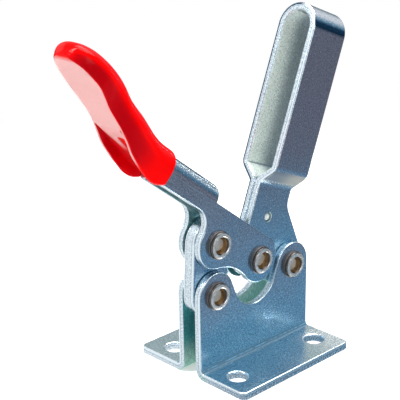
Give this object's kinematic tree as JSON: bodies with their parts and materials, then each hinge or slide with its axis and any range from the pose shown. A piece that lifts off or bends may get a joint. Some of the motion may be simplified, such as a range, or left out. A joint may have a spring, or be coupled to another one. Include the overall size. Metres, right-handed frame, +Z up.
{
  "type": "horizontal toggle clamp",
  "caption": "Horizontal toggle clamp: two flanged brackets, a looped open arm, a cheeked handle with a red vinyl grip and a link, on hollow rivets.",
  "frame": {"origin": "centre of the four screw holes, on the mounting face", "axes": "+Z up from the mounting face, +X the way the arm reaches when closed, Y along the pivots"},
  "size_m": [0.0923, 0.04, 0.096],
  "materials": {
    "zinc_steel": "satin bright zinc plate",
    "nickel_steel": "nickel plate",
    "bush_steel": "plain turned steel",
    "red_vinyl": "glossy moulded vinyl"
  },
  "bodies": {
    "base": {"near_bracket": "zinc_steel", "far_bracket": "zinc_steel", "arm_pivot_rivet": "nickel_steel", "arm_pivot_bush": "bush_steel", "arm_pivot_near_washer": "nickel_steel", "arm_pivot_far_washer": "nickel_steel", "link_pivot_rivet": "nickel_steel", "link_pivot_bush": "bush_steel", "link_pivot_near_washer": "nickel_steel", "link_pivot_far_washer": "nickel_steel"},
    "arm": {"arm": "zinc_steel", "stem_rivet": "zinc_steel"},
    "handle": {"handle": "zinc_steel", "grip": "red_vinyl", "handle_pivot_rivet": "nickel_steel", "handle_pivot_bush": "bush_steel", "handle_pivot_near_washer": "nickel_steel", "handle_pivot_far_washer": "nickel_steel", "knee_pivot_rivet": "nickel_steel", "knee_pivot_bush": "bush_steel", "knee_pivot_near_washer": "nickel_steel", "knee_pivot_far_washer": "nickel_steel"},
    "link": {"link": "zinc_steel"}
  },
  "joints": [
    {"name": "arm_swing", "type": "hinge", "parent": "base", "child": "arm", "pos_m": [0.01475, 0, 0.0225], "axis": [0, -1, 0], "range_deg": [-66, 10]},
    {"name": "handle_swing", "type": "hinge", "parent": "arm", "child": "handle", "pos_m": [0.00177, 0, 0.02774], "axis": [0, -1, 0], "range_deg": [-17.5, 115.5]},
    {"name": "link_swing", "type": "hinge", "parent": "base", "child": "link", "pos_m": [-0.01475, 0, 0.0225], "axis": [0, -1, 0], "range_deg": [-43.56, 6.6]}
  ],
  "couplings": [
    {"joint": "handle_swing", "follows": "arm_swing", "ratio": -1.75},
    {"joint": "link_swing", "follows": "arm_swing", "ratio": 0.66}
  ]
}
